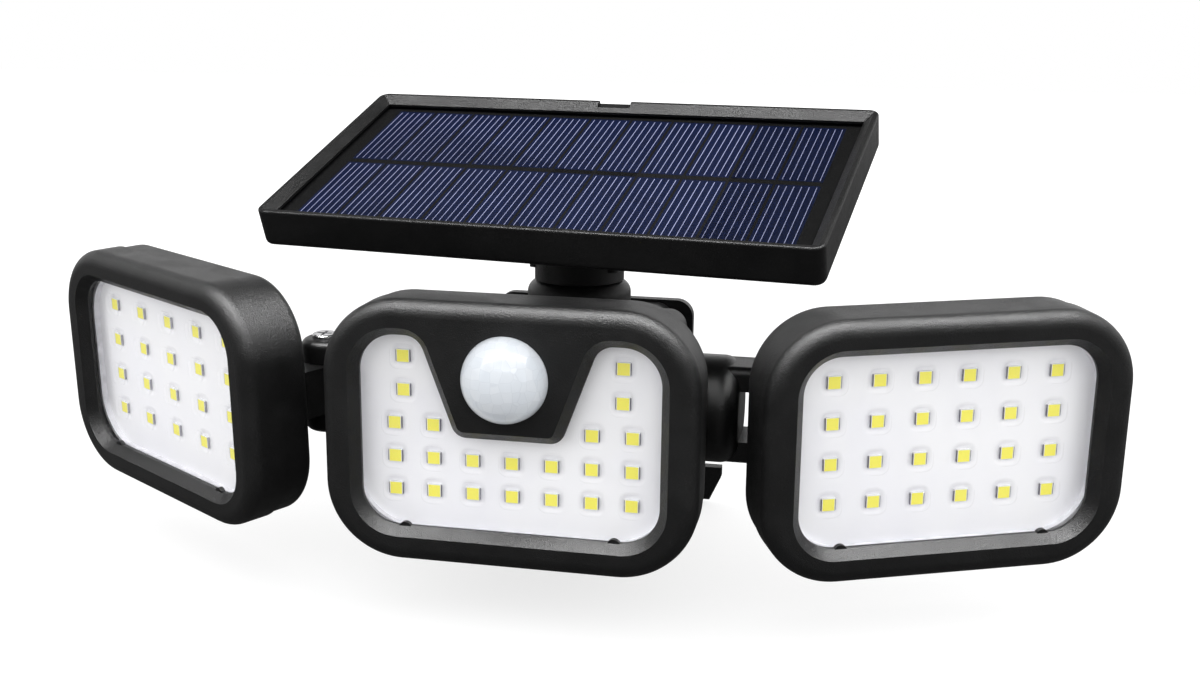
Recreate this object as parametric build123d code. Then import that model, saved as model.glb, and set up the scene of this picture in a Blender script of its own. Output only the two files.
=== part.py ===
from build123d import *
import math
import os

# Three-lamp motion-sensor security light with a tilting solar panel.
# Row frame: origin on the wall, +X to the right, +Y into the wall, +Z up.
# Pieces of a lamp head are drawn with the head's front plane at y = 0, x to
# the right, z up and y growing towards the back, and are then put in place.

# ---- overall lay-out -------------------------------------------------------
reach = 126.0            # wall to the middle head's front plane
fit = 0.05               # radial clearance of a fastener in its hole
run = 0.08               # radial clearance of a turning shaft
seat_gap = 0.3           # clearance between faces that move past each other
loose = 0.5              # clearance of a plate in its tray

# ---- lamp heads --------------------------------------------------------------
head_w = 110.0
head_h = 78.0
head_r = 23.0
bezel_d = 12.5
bezel_wall = 2.5
front_round = 4.5
cover_d = 10.5
cover_wall = 2.2
cover_step = 0.6
cover_round = 3.0

window_w = 88.0
window_h = 57.0
window_r = 11.0
window_depth = 4.3
bevel_in = 2.6
bevel_deep = 3.2
tab_r = 2.0
tab_drop = 1.0            # middle of a tab below the window's lower edge
tab_x = 31.0
tab_t = 1.4

lens_t = 2.0
lens_lap_x = 3.5
lens_lap_z = 2.5
lens_r = 17.5
lenslet_w = 7.4
lenslet_r = 2.4
lenslet_t = 0.8
gasket_t = 2.0
gasket_w = 1.2
board_t = 1.6
post_r = 3.0
post_x = 27.0
post_z = 17.0

led_w = 4.4
led_h = 4.0
led_t = 0.8
led_rise = 1.4           # the grid sits this much above the head's centre
led_span_x = 67.2
left_cols = 5
right_cols = 6
led_span_z = 36.6
side_rows = 4
mid_span_x = 70.4
mid_cols = 7
mid_rows = 5
mid_pitch_z = 10.05
mid_top_z = 21.3
mid_upper_x = 32.3       # the two upper rows have one diode at each side

boss_in = 17.0           # screw boss to the centre of the corner's rounding
boss_r = 2.5
boss_floor = 1.2

# ---- motion sensor -----------------------------------------------------------
dome_r = 12.5
dome_wall = 0.8
dome_z = 18.0
dome_set = 1.0           # centre of the dome's sphere behind the front plane
dome_lip = 1.4
dome_lip_t = 1.2
dome_room = 0.8
trap_top = 26.2          # half width of the surround at the window's top edge
trap_low = 15.4          # half width at its lower edge
trap_z = -0.6
trap_r = 4.5
lobe_r = 6.0
can_r = 4.6
can_h = 4.0
can_rim = 0.7
can_rim_t = 0.6

# ---- fasteners -----------------------------------------------------------------
m3_r = 1.5
m3_head_r = 2.8
m3_head_t = 2.0
m3_sink = 2.6
m4_r = 2.0
m4_head_r = 4.0
m4_head_t = 2.6
m4_nut_flats = 7.0
m4_nut_t = 3.2
cross_w = 0.9
cross_ratio = 0.62       # cross recess as a part of the head's diameter
cross_deep = 1.1
head_round = 0.6

# ---- swivel yokes ---------------------------------------------------------------
side_hinge_h = 25.5      # collar face to hinge axis
side_drum_r = 16.5
side_drum_t = 14.5
side_drum_round = 6.0
top_hinge_h = 17.0
top_drum_r = 14.5
top_drum_t = 8.0
top_drum_round = 2.2
ear_half = 15.2          # hinge axis mid point to an ear's outer face
ear_t = 7.2
ear_r = 7.5
ear_round = 2.4
screw_sink = 1.3
hinge_in = 15.9          # hinge axis inboard of a side head's inner wall
hinge_back = 40.5        # hinge axis behind a side head's front plane
knuckle_r = 7.3
stem_r = 5.0
stem_over = 0.4          # the stem ends this far inside the case wall
keeper_r = 8.5
keeper_t = 1.6
keeper_screw = 12.0
seal_in = 5.6
seal_w = 2.2
seal_t = 1.0

# ---- battery case behind the middle head -----------------------------------------
case_w = 76.0
case_low = -30.0
case_top = 21.0
case_back = 92.0         # back of the case, from the front plane
case_wall = 2.6
case_r = 6.0
lid_t = 4.0
lid_in = 5.2             # lid screws from the case's outer faces
lid_boss_r = 3.2
lid_boss_len = 8.0
collar_h = 9.0
collar_r = 16.4
top_collar_h = 12.5
top_collar_r = 16.8
collar_root = 1.5        # a collar reaches this far into the case wall
collar_round = 1.5
top_collar_round = 4.0
side_joint_y = 47.6      # side swivels, from the front plane
side_joint_z = 0.5
top_joint_x = 5.0
top_joint_y = 74.0
cable_r = 4.0

cell_r = 9.2
cell_len = 65.2
cell_y = 73.0
cell_gap = 0.6
holder_wall = 1.0
contact_t = 0.8
contact_r = 6.0

ctrl_w = 60.0
ctrl_h = 40.0
ctrl_stand = 4.0
ctrl_post_r = 3.0
ctrl_inset = 5.0
m2_r = 1.0
m2_head_r = 1.9
m2_head_t = 1.4
m2_len = 4.6

key_r = 5.0
key_guard_r = 8.0
key_guard_h = 2.4
key_out = 1.6
key_flange_r = 6.4
key_flange_t = 1.2
key_travel = 1.2
key_y = 33.0
switch_w = 6.0
switch_h = 5.0
switch_pin_r = 1.7
switch_pin_h = 1.0
chip_w = 12.0
chip_t = 2.0

# ---- wall bracket ------------------------------------------------------------------
plate_t = 4.0
plate_w = 72.0
plate_low = -56.0
plate_top = 18.0
plate_r = 6.0
ear_out = 48.0           # half width over the two screw ears
ear_hole_x = 39.0
ear_hole_z = -49.5
foot_top = -43.5
ear_slant_x = 44.0
ear_slant_z = -47.2
wall_hole_r = 2.4
hang_r = 4.6             # keyhole in the plate: the screw head goes in here
hang_z = 0.0
hang_rise = 8.0          # from there up to the end of its slot
arm_w = 58.0
arm_h = 34.0
arm_r = 6.0
arm_wall = 3.0
arm_boss_r = 4.6
arm_boss_len = 13.0
arm_screw_x = 22.0
arm_screw_z = 11.0
arm_screw_len = 14.0

# ---- solar panel ------------------------------------------------------------------------
panel_w = 178.0
panel_d = 90.0
panel_t = 12.5
panel_r = 3.5
panel_edge = 0.8
panel_under_round = 2.0
panel_wall = 2.5
rim_top = 1.7
rim_w = 4.5
rim_low = 0.8            # upright part of the rim's inner face
recess = 3.2
glass_t = 1.0
cell_t = 0.4
sheet_t = 1.4
solar_margin_x = 5.2     # black border between the rim's foot and the cells
solar_margin_y = 1.8
solar_cols = 11
solar_rows = 2
solar_gap_x = 0.9
solar_gap_y = 2.6
back_t = 2.4
rib_t = 2.0
rib_count = 3
rib_span = 100.0
rib_len = 60.0
panel_boss_r = 4.6
panel_boss_in = 6.6      # panel screws from the frame's outer faces
pad_w = 44.0
pad_d = 32.0
pad_t = 2.0
pad_r = 5.0
panel_hinge = 24.0       # panel's top face to its hinge axis
notch_w = 11.5
notch_deep = 1.3

# ---- rest position: as the light is shown -------------------------------------------------
left_tilt_deg = 2.7
left_swing_deg = -31.5
right_tilt_deg = 2.7
right_swing_deg = 22.3
panel_turn_deg = -8.4
panel_tilt_deg = 20.8

# ---- derived places -----------------------------------------------------------------------
head_d = bezel_d + cover_d
lens_y = window_depth
gasket_y = lens_y + lens_t
board_y = gasket_y + gasket_t
board_back = board_y + board_t
shell_y = head_d - cover_wall
lens_w = window_w + 2 * lens_lap_x
lens_h = window_h + 2 * lens_lap_z
boss_x = head_w / 2 - head_r + boss_in / math.sqrt(2)
boss_z = head_h / 2 - head_r + boss_in / math.sqrt(2)
m3_len = head_d - m3_sink - window_depth - boss_floor - loose
yoke_half_gap = ear_half - ear_t
knuckle_h = 2 * (yoke_half_gap - seat_gap)
case_x = case_w / 2
case_h = case_top - case_low
case_mid = (case_top + case_low) / 2
side_joint_x = case_x + collar_h + side_hinge_h
top_face_z = case_top + top_collar_h
top_hinge_z = top_face_z + top_hinge_h
hook_x = head_w / 2 - hinge_in
ctrl_y = head_d + ctrl_stand
ctrl_low = case_low + case_wall + key_flange_t + key_travel + 2 * seat_gap
ctrl_mid = ctrl_low + ctrl_h / 2


def slab(sketch, y0, y1):
    """A sketch in x and z, given thickness from y0 back to y1."""
    return Pos(0, y1, 0) * extrude(Plane.XZ * sketch, amount=y1 - y0)


def rod_y(x, z, radius, y0, y1):
    return slab(Pos(x, z) * Circle(radius), y0, y1)


def rod_z(radius, z0, z1):
    return Pos(0, 0, z0) * extrude(Circle(radius), amount=z1 - z0)


def plate_z(width, depth, corner, z0, z1):
    return Pos(0, 0, z0) * extrude(RectangleRounded(width, depth, corner), amount=z1 - z0)


def block(x0, x1, y0, y1, z0, z1):
    size = (x1 - x0, y1 - y0, z1 - z0)
    return Pos((x0 + x1) / 2, (y0 + y1) / 2, (z0 + z1) / 2) * Box(*size)


def front_edges(shape):
    return shape.faces().sort_by(Axis.Y)[0].edges()


def back_edges(shape):
    return shape.faces().sort_by(Axis.Y)[-1].edges()


def top_edges(shape):
    return shape.faces().sort_by(Axis.Z)[-1].edges()


def low_edges(shape):
    return shape.faces().sort_by(Axis.Z)[0].edges()


def corners(x, z):
    return [(sx * x, sz * z) for sx in (-1, 1) for sz in (-1, 1)]


def pan_screw(radius, length, head_radius, head_height):
    """Cross-recessed pan-head screw along Z, with its head above z = 0."""
    head = fillet(top_edges(rod_z(head_radius, 0, head_height)), head_round)
    span = 2 * head_radius * cross_ratio
    top = head_height - cross_deep
    long_slot = block(-span / 2, span / 2, -cross_w / 2, cross_w / 2, top, head_height)
    wide_slot = block(-cross_w / 2, cross_w / 2, -span / 2, span / 2, top, head_height)
    return head + rod_z(radius, -length, 0) - long_slot - wide_slot


def back_screw(x, z, y_seat, radius, length, head_radius, head_height):
    """The same screw with its head towards +Y, seated at y_seat."""
    screw = pan_screw(radius, length, head_radius, head_height)
    return Pos(x, y_seat, z) * (Rotation(-90, 0, 0) * screw)


# ---- lamp head pieces ------------------------------------------------------------


def window_sketch(with_dome):
    opening = RectangleRounded(window_w, window_h, window_r)
    if with_dome:
        slope = (trap_top - trap_low) / (window_h / 2 - trap_z)
        over = trap_top + slope * window_r
        high = window_h / 2 + window_r
        outline = [(-trap_low, trap_z), (trap_low, trap_z), (over, high), (-over, high)]
        surround = make_face(Polyline(*outline, close=True))
        surround = fillet(surround.vertices().sort_by(Axis.Y)[:2], trap_r)
        opening = opening - surround
        joints = [v for v in opening.vertices() if abs(abs(v.X) - trap_top) < trap_r / 2 and v.Y > dome_z]
        opening = fillet(joints, lobe_r)
    return opening


def tabs():
    low = -window_h / 2 - tab_drop
    return [slab(Pos(x, low) * Circle(tab_r), window_depth - tab_t, window_depth) for x in (-tab_x, tab_x)]


def boss_places():
    return corners(boss_x, boss_z)


def bezel(with_dome):
    body = slab(RectangleRounded(head_w, head_h, head_r), 0, bezel_d)
    body = fillet(front_edges(body), front_round)
    inner_w = head_w - 2 * bezel_wall
    inner_h = head_h - 2 * bezel_wall
    body -= slab(RectangleRounded(inner_w, inner_h, head_r - bezel_wall), window_depth, bezel_d)
    body -= slab(window_sketch(with_dome), 0, window_depth)
    rim = [f for f in body.faces().filter_by(Plane.XZ) if f.inner_wires()]
    rim = sorted(rim, key=lambda f: f.center().Y)[0]
    body = chamfer(rim.inner_wires()[0].edges(), bevel_in, bevel_deep, reference=rim)
    for tab in tabs():
        body += tab
    for x, z in boss_places():
        body += rod_y(x, z, boss_r, window_depth, bezel_d)
        body -= rod_y(x, z, m3_r + fit, window_depth + boss_floor, bezel_d)
    if with_dome:
        body -= rod_y(0, dome_z, dome_r + fit, 0, window_depth)
    return body


def lens_outline(shrink=0.0):
    return RectangleRounded(lens_w - 2 * shrink, lens_h - 2 * shrink, lens_r - shrink)


def dome_hole(y0, y1):
    return rod_y(0, dome_z, dome_r + dome_lip + dome_room, y0, y1)


def lens(with_dome, places):
    plate = slab(lens_outline(), lens_y, gasket_y)
    pads = Sketch() + [Pos(x, z) * RectangleRounded(lenslet_w, lenslet_w, lenslet_r) for x, z in places]
    plate += slab(pads, gasket_y, gasket_y + lenslet_t)
    return plate - dome_hole(lens_y, gasket_y) if with_dome else plate


def gasket(with_dome):
    ring = slab(lens_outline() - lens_outline(gasket_w), gasket_y, board_y)
    return ring - dome_hole(gasket_y, board_y) if with_dome else ring


def led_board():
    return slab(lens_outline(fit), board_y, board_back)


def spread(span, count):
    return [-span / 2 + span * i / (count - 1) for i in range(count)]


def side_places(columns):
    rows = spread(led_span_z, side_rows)
    return [(x, led_rise + z) for z in rows for x in spread(led_span_x, columns)]


def middle_places():
    rows = [mid_top_z - mid_pitch_z * i for i in range(mid_rows)]
    across = spread(mid_span_x, mid_cols)
    outer = [across[0], across[1], across[-2], across[-1]]
    places = [(x, z) for z in rows[:2] for x in (-mid_upper_x, mid_upper_x)]
    places += [(x, rows[2]) for x in outer]
    return places + [(x, z) for z in rows[3:] for x in across]


def diodes(places):
    return [slab(Pos(x, z) * Rectangle(led_w, led_h), board_y - led_t, board_y) for x, z in places]


def cover_shell():
    """Rear shell of a head, open to the front."""
    width = head_w - 2 * cover_step
    height = head_h - 2 * cover_step
    corner = head_r - cover_step
    body = slab(RectangleRounded(width, height, corner), bezel_d, head_d)
    body = fillet(back_edges(body), cover_round)
    inner = RectangleRounded(width - 2 * cover_wall, height - 2 * cover_wall, corner - cover_wall)
    body -= slab(inner, bezel_d, shell_y)
    for x, z in boss_places():
        body += rod_y(x, z, m3_head_r + cover_wall / 2, bezel_d, shell_y)
        body -= rod_y(x, z, m3_r + fit, bezel_d, head_d)
        body -= rod_y(x, z, m3_head_r + fit, head_d - m3_sink, head_d)
    for x, z in corners(post_x, post_z):
        body += rod_y(x, z, post_r, board_back, shell_y)
    return body


def cover_screws():
    seat = head_d - m3_sink
    sizes = (m3_r, m3_len, m3_head_r, m3_head_t)
    return [back_screw(x, z, seat, *sizes) for x, z in boss_places()]


def side_cover(side):
    """Rear shell of a side head with its hinge knuckle; side is +1 where the knuckle is at +X."""
    body = cover_shell()
    x = side * hook_x
    low = side_joint_z - knuckle_h / 2
    high = side_joint_z + knuckle_h / 2
    body += block(x - knuckle_r, x + knuckle_r, shell_y, hinge_back, low, high)
    body += Pos(x, hinge_back, 0) * rod_z(knuckle_r, low, high)
    body -= Pos(x, hinge_back, 0) * rod_z(m4_r + run, low, high)
    return body


# ---- swivel yoke, drawn on its collar: swivel axis +Z, hinge axis along X ---------


side_yoke = (side_drum_r, side_drum_t, side_drum_round, side_hinge_h)
top_yoke = (top_drum_r, top_drum_t, top_drum_round, top_hinge_h)


def yoke(sizes, stem_len):
    drum_r, drum_t, rounding, hinge_h = sizes
    body = rod_z(drum_r, seat_gap, seat_gap + drum_t)
    body = fillet(top_edges(body), rounding)
    ears = block(-ear_half, ear_half, -ear_r, ear_r, drum_t / 2, hinge_h)
    ears += rod_x(hinge_h, ear_r, -ear_half, ear_half)
    ears = fillet(ears.faces().sort_by(Axis.X)[0].edges().sort_by(Axis.Z)[1:], ear_round)
    ears = fillet(ears.faces().sort_by(Axis.X)[-1].edges().sort_by(Axis.Z)[1:], ear_round)
    gap_low = seat_gap + drum_t
    ears -= block(-yoke_half_gap, yoke_half_gap, -drum_r, drum_r, gap_low, hinge_h + drum_r)
    body += ears
    body -= rod_x(hinge_h, m4_r + fit, -ear_half, ear_half)
    body -= rod_x(hinge_h, m4_head_r + fit, ear_half - screw_sink, ear_half)
    body -= hinge_nut_shape(hinge_h, fit)
    body += rod_z(stem_r, -stem_len, seat_gap)
    return body - rod_z(m4_r + fit, -stem_len, seat_gap + drum_t / 2)


def rod_x(hinge_h, radius, x0, x1):
    """A rod on the hinge axis of a yoke."""
    return Pos(x0, 0, hinge_h) * (Rotation(0, 90, 0) * rod_z(radius, 0, x1 - x0))


def hinge_nut_shape(hinge_h, room=0.0):
    flats = RegularPolygon(m4_nut_flats / 2 + room, 6, major_radius=False)
    nut = extrude(flats, amount=m4_nut_t)
    return Pos(-ear_half, 0, hinge_h) * (Rotation(0, 90, 0) * nut)


def hinge_nut(hinge_h):
    return hinge_nut_shape(hinge_h) - rod_x(hinge_h, m4_r + fit, -ear_half, ear_half)


def hinge_screw(hinge_h):
    screw = pan_screw(m4_r, 2 * ear_half - screw_sink, m4_head_r, m4_head_t)
    return Pos(ear_half - screw_sink, 0, hinge_h) * (Rotation(0, 90, 0) * screw)


def keeper(stem_len):
    """Washer that holds the stem inside the case."""
    low = -stem_len - keeper_t
    return rod_z(keeper_r, low, -stem_len) - rod_z(m4_r + fit, low, -stem_len)


def keeper_bolt(stem_len):
    screw = pan_screw(m4_r, keeper_screw, m4_head_r, m4_head_t)
    return Pos(0, 0, -stem_len - keeper_t) * (Rotation(180, 0, 0) * screw)


def swivel_seal():
    return rod_z(seal_in + seal_w, -seal_t, 0) - rod_z(seal_in, -seal_t, 0)


def collar(radius, height, rounding):
    return fillet(top_edges(rod_z(radius, -height - collar_root, 0)), rounding)


def collar_bore(height):
    bore = rod_z(stem_r + run, -height - case_wall, 0)
    return bore + rod_z(seal_in + seal_w + fit, -seal_t, 0)


# ---- where the pieces stand ----------------------------------------------------------


left_seat = Plane((-case_x - collar_h, side_joint_y, side_joint_z), x_dir=(0, 0, 1), z_dir=(-1, 0, 0))
right_seat = Plane((case_x + collar_h, side_joint_y, side_joint_z), x_dir=(0, 0, 1), z_dir=(1, 0, 0))
top_seat = Plane((top_joint_x, top_joint_y, top_face_z), x_dir=(1, 0, 0), z_dir=(0, 0, 1))
to_wall = Pos(0, -reach, 0)


def tilted(shape, angle):
    """Turned with a side yoke about the swivel axis, which runs along X."""
    place = Pos(0, side_joint_y, side_joint_z) * Rotation(angle, 0, 0) * Pos(0, -side_joint_y, -side_joint_z)
    return to_wall * place * shape


def side_head(shape, side, tilt, swing):
    """side is -1 for the left head and +1 for the right head."""
    hinge = Pos(side * side_joint_x, side_joint_y, 0)
    swung = hinge * Rotation(0, 0, swing) * Pos(side * hook_x, -hinge_back, 0)
    return tilted(swung * shape, tilt)


def on_panel(shape):
    """From the panel's own frame, with its top face at z = 0."""
    hinge = Pos(top_joint_x, top_joint_y, top_hinge_z)
    turned = Rotation(0, 0, panel_turn_deg) * Rotation(panel_tilt_deg, 0, 0)
    return to_wall * hinge * turned * Pos(0, 0, panel_hinge) * shape


def on_top_yoke(shape):
    return to_wall * top_seat.location * Rotation(0, 0, panel_turn_deg) * shape


# ---- battery case -------------------------------------------------------------------------


def case_outline(inset=0.0):
    section = RectangleRounded(case_w - 2 * inset, case_h - 2 * inset, case_r - inset)
    return Pos(0, case_mid) * section


def case():
    body = cover_shell()
    outline = case_outline()
    body += slab(outline, shell_y, case_back) - slab(case_outline(case_wall), head_d, case_back)
    for seat, radius, height, rounding in collars:
        body += seat.location * collar(radius, height, rounding)
        body -= seat.location * collar_bore(height)
    body -= rod_y(0, case_mid, cable_r, shell_y, head_d)
    for x, z in lid_places():
        low = case_back - lid_boss_len
        body += rod_y(x, z, lid_boss_r, low, case_back) & slab(outline, shell_y, case_back)
        body -= rod_y(x, z, m3_r + fit, low, case_back)
    for x, z in board_places():
        body += rod_y(x, z, ctrl_post_r, head_d, head_d + ctrl_stand)
        body -= rod_y(x, z, m2_r + fit, head_d, head_d + ctrl_stand)
    body += Pos(0, key_y, case_low - key_guard_h) * rod_z(key_guard_r, 0, key_guard_h)
    body -= Pos(0, key_y, 0) * rod_z(key_r + run, case_low - key_guard_h, case_low + case_wall)
    return body


collars = [
    (left_seat, collar_r, collar_h, collar_round),
    (right_seat, collar_r, collar_h, collar_round),
    (top_seat, top_collar_r, top_collar_h, top_collar_round),
]


def lid_places():
    return [(x, case_mid + z) for x, z in corners(case_x - lid_in, case_h / 2 - lid_in)]


def board_places():
    return [(x, ctrl_mid + z) for x, z in corners(ctrl_w / 2 - ctrl_inset, ctrl_h / 2 - ctrl_inset)]


def arm_places():
    return corners(arm_screw_x, arm_screw_z)


def case_lid():
    body = slab(case_outline(), case_back, case_back + lid_t)
    body = fillet(back_edges(body), cover_round)
    for x, z in lid_places():
        body -= rod_y(x, z, m3_r + fit, case_back, case_back + lid_t)
        body -= rod_y(x, z, m3_head_r + fit, case_back + lid_t - m3_sink, case_back + lid_t)
    for x, z in arm_places():
        body -= rod_y(x, z, m4_r + fit, case_back, case_back + lid_t)
    return body


def lid_screws():
    seat = case_back + lid_t - m3_sink
    length = seat - case_back + lid_boss_len - loose
    return [back_screw(x, z, seat, m3_r, length, m3_head_r, m3_head_t) for x, z in lid_places()]


def arm_screws():
    """Seated on the lid's inner face, pointing to the wall."""
    screw = Rotation(90, 0, 0) * pan_screw(m4_r, arm_screw_len, m4_head_r, m4_head_t)
    return [Pos(x, case_back, z) * screw for x, z in arm_places()]


def cell_heights():
    low = case_low + case_wall + holder_wall + cell_gap + cell_r
    return [low, low + 2 * cell_r + cell_gap]


def cells():
    along = Rotation(0, 90, 0)
    body = fillet(rod_z(cell_r, 0, cell_len).edges(), head_round)
    return [Pos(-cell_len / 2, cell_y, z) * along * body for z in cell_heights()]


def holder():
    """Open-fronted tray for the cells, standing on the case floor."""
    half = cell_len / 2 + contact_t
    deep = cell_r + cell_gap
    low = case_low + case_wall
    high = cell_heights()[1] + cell_r / 2
    x1 = half + holder_wall
    y1 = cell_y + deep + holder_wall
    body = block(-x1, x1, cell_y - deep, y1, low, high)
    body = fillet(body.edges().filter_by(Axis.Y).group_by(Axis.Z)[0], case_r - case_wall - holder_wall)
    body -= block(-half, half, cell_y - deep, y1 - holder_wall, low + holder_wall, high)
    return body


def contacts():
    half = cell_len / 2
    plates = []
    for z in cell_heights():
        for x in (-half - contact_t, half):
            plates.append(Pos(x, cell_y, z) * (Rotation(0, 90, 0) * rod_z(contact_r, 0, contact_t)))
    return plates


def control_board():
    back = ctrl_y + board_t
    body = slab(Pos(0, ctrl_mid) * Rectangle(ctrl_w, ctrl_h), ctrl_y, back)
    for x, z in board_places():
        body -= rod_y(x, z, m2_r + fit, ctrl_y, back)
    return body


def chips():
    back = ctrl_y + board_t
    chip = slab(Rectangle(chip_w, chip_w), back, back + chip_t)
    return [Pos(x, 0, ctrl_mid + chip_w / 2) * chip for x in (-chip_w, chip_w)]


def board_screws():
    seat = ctrl_y + board_t
    return [back_screw(x, z, seat, m2_r, m2_len, m2_head_r, m2_head_t) for x, z in board_places()]


def push_switch():
    """Soldered to the control board's back, with its pin over the key."""
    half = switch_w / 2
    low = ctrl_low + switch_pin_h
    body = block(-half, half, ctrl_y + board_t, key_y + half, low, ctrl_low + switch_h)
    return body + Pos(0, key_y, 0) * rod_z(switch_pin_r, ctrl_low, low)


def mode_key():
    floor = case_low + case_wall
    low = case_low - key_guard_h - key_out
    cap = fillet(low_edges(rod_z(key_r, low, floor)), head_round)
    return Pos(0, key_y, 0) * (cap + rod_z(key_flange_r, floor, floor + key_flange_t))


# ---- motion sensor ----------------------------------------------------------------------


def dome():
    centre = Pos(0, dome_set, dome_z)
    low = window_depth + dome_lip_t
    front = block(-head_w, head_w, dome_set - head_w, dome_set, -head_w, head_w)
    outer = (centre * Sphere(dome_r)) & front
    outer += rod_y(0, dome_z, dome_r, dome_set, low)
    outer += rod_y(0, dome_z, dome_r + dome_lip, window_depth, low)
    inner = (centre * Sphere(dome_r - dome_wall)) & front
    return outer - inner - rod_y(0, dome_z, dome_r - dome_wall, dome_set, low)


def dome_ring():
    low = window_depth + dome_lip_t
    ring = rod_y(0, dome_z, dome_r + dome_lip, low, board_y)
    return ring - rod_y(0, dome_z, dome_r - dome_wall, low, board_y)


def sensor():
    can = fillet(front_edges(rod_y(0, dome_z, can_r, board_y - can_h, board_y)), can_rim_t)
    return can + rod_y(0, dome_z, can_r + can_rim, board_y - can_rim_t, board_y)


# ---- wall bracket --------------------------------------------------------------------------


def plate_outline():
    body = Pos(0, (plate_top + plate_low) / 2) * RectangleRounded(plate_w, plate_top - plate_low, plate_r)
    foot = [
        (-ear_out, foot_top),
        (ear_out, foot_top),
        (ear_out, ear_slant_z),
        (ear_slant_x, plate_low),
        (-ear_slant_x, plate_low),
        (-ear_out, ear_slant_z),
    ]
    return body + make_face(Polyline(*foot, close=True))


def arm_outline(inset=0.0):
    return RectangleRounded(arm_w - 2 * inset, arm_h - 2 * inset, arm_r - inset)


def bracket():
    front = case_back + lid_t
    face = reach - plate_t
    body = slab(plate_outline(), face, reach) + slab(arm_outline(), front, face)
    body -= slab(arm_outline(arm_wall), front, face)
    for x, z in arm_places():
        body += rod_y(x, z, arm_boss_r, front, front + arm_boss_len) & slab(arm_outline(), front, face)
        body -= rod_y(x, z, m4_r + fit, front, front + arm_boss_len)
    for x in (-ear_hole_x, ear_hole_x):
        body -= rod_y(x, ear_hole_z, wall_hole_r, face, reach)
    body -= rod_y(0, hang_z, hang_r, face, reach)
    body -= rod_y(0, hang_z + hang_rise, wall_hole_r, face, reach)
    return body - block(-wall_hole_r, wall_hole_r, face, reach, hang_z, hang_z + hang_rise)


# ---- solar panel, drawn with its top face at z = 0 --------------------------------------------


glass_z = -recess
sheet_z = glass_z - glass_t
sheet_low = sheet_z - sheet_t
back_z = -panel_t
panel_seat = back_z + m3_sink
tray_w = panel_w - 2 * panel_wall
tray_d = panel_d - 2 * panel_wall
tray_r = panel_r - panel_wall
throat_w = panel_w - 2 * rim_w
throat_d = panel_d - 2 * rim_w
solar_span_x = throat_w - 2 * solar_margin_x
solar_span_y = throat_d - 2 * solar_margin_y


def panel_places():
    return corners(panel_w / 2 - panel_boss_in, panel_d / 2 - panel_boss_in)


def rim_slope(half):
    """Section of the mouth whose sides slope in from the top face to the glass."""
    low = glass_z + rim_low
    top_x = half - rim_top
    low_x = half - rim_w
    return make_face(Polyline((-top_x, 0), (top_x, 0), (low_x, low), (-low_x, low), close=True))


def panel_frame():
    body = plate_z(panel_w, panel_d, panel_r, back_z, 0)
    body = fillet(top_edges(body), panel_edge)
    body = fillet(low_edges(body), panel_under_round)
    body -= plate_z(tray_w, tray_d, tray_r, back_z, glass_z)
    across = slab(rim_slope(panel_w / 2), -panel_d / 2, panel_d / 2)
    along = Rotation(0, 0, 90) * slab(rim_slope(panel_d / 2), -panel_w / 2, panel_w / 2)
    body -= across & along
    body -= Pos(0, 0, glass_z) * extrude(Rectangle(throat_w, throat_d), amount=rim_low)
    body -= block(-notch_w / 2, notch_w / 2, panel_d / 2 - rim_w, panel_d / 2, -notch_deep, 0)
    for x, y in panel_places():
        body += Pos(x, y, 0) * rod_z(panel_boss_r, panel_seat + boss_floor, sheet_low)
        body -= Pos(x, y, 0) * rod_z(m3_r + fit, panel_seat + boss_floor, sheet_low)
    return body


def in_tray(z0, z1):
    return plate_z(tray_w - loose, tray_d - loose, tray_r, z0, z1)


def solar_cells():
    pitch_x = (solar_span_x + solar_gap_x) / solar_cols
    pitch_y = (solar_span_y + solar_gap_y) / solar_rows
    wafer = Pos(0, 0, sheet_z - cell_t / 2) * Box(pitch_x - solar_gap_x, pitch_y - solar_gap_y, cell_t)
    return [place * wafer for place in GridLocations(pitch_x, pitch_y, solar_cols, solar_rows)]


def back_sheet():
    body = in_tray(sheet_low, sheet_z)
    return body - solar_cells()


def back_cover():
    top = back_z + back_t
    body = in_tray(back_z, top)
    for x in spread(rib_span, rib_count):
        body += block(x - rib_t / 2, x + rib_t / 2, -rib_len / 2, rib_len / 2, top, sheet_low)
    body += plate_z(pad_w, pad_d, pad_r, back_z - pad_t, back_z)
    half = knuckle_h / 2
    body += block(-half, half, -knuckle_r, knuckle_r, -panel_hinge, back_z)
    on_axis = Pos(-half, 0, -panel_hinge) * Rotation(0, 90, 0)
    body += on_axis * rod_z(knuckle_r, 0, knuckle_h)
    body -= on_axis * rod_z(m4_r + run, 0, knuckle_h)
    for x, y in panel_places():
        boss_top = panel_seat + boss_floor
        body += Pos(x, y, 0) * rod_z(panel_boss_r, back_z, boss_top) & in_tray(back_z, sheet_low)
        body -= Pos(x, y, 0) * rod_z(m3_r + fit, back_z, boss_top)
        body -= Pos(x, y, 0) * rod_z(m3_head_r + fit, back_z, panel_seat)
    return body


def panel_screws():
    length = sheet_low - panel_seat - loose
    screw = Rotation(180, 0, 0) * pan_screw(m3_r, length, m3_head_r, m3_head_t)
    return [Pos(x, y, panel_seat) * screw for x, y in panel_places()]


# ---- the pieces --------------------------------------------------------------------------------


nodes = {}


def put(name, place, shapes):
    """A node of one solid, or of several alike."""
    if not isinstance(shapes, list):
        shapes = [shapes]
    moved = [place(shape) for shape in shapes]
    solids = [solid for shape in moved for solid in shape.solids()]
    nodes[name] = solids[0] if len(solids) == 1 else Compound(children=solids)


def at_front(shape):
    return to_wall * shape


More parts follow.
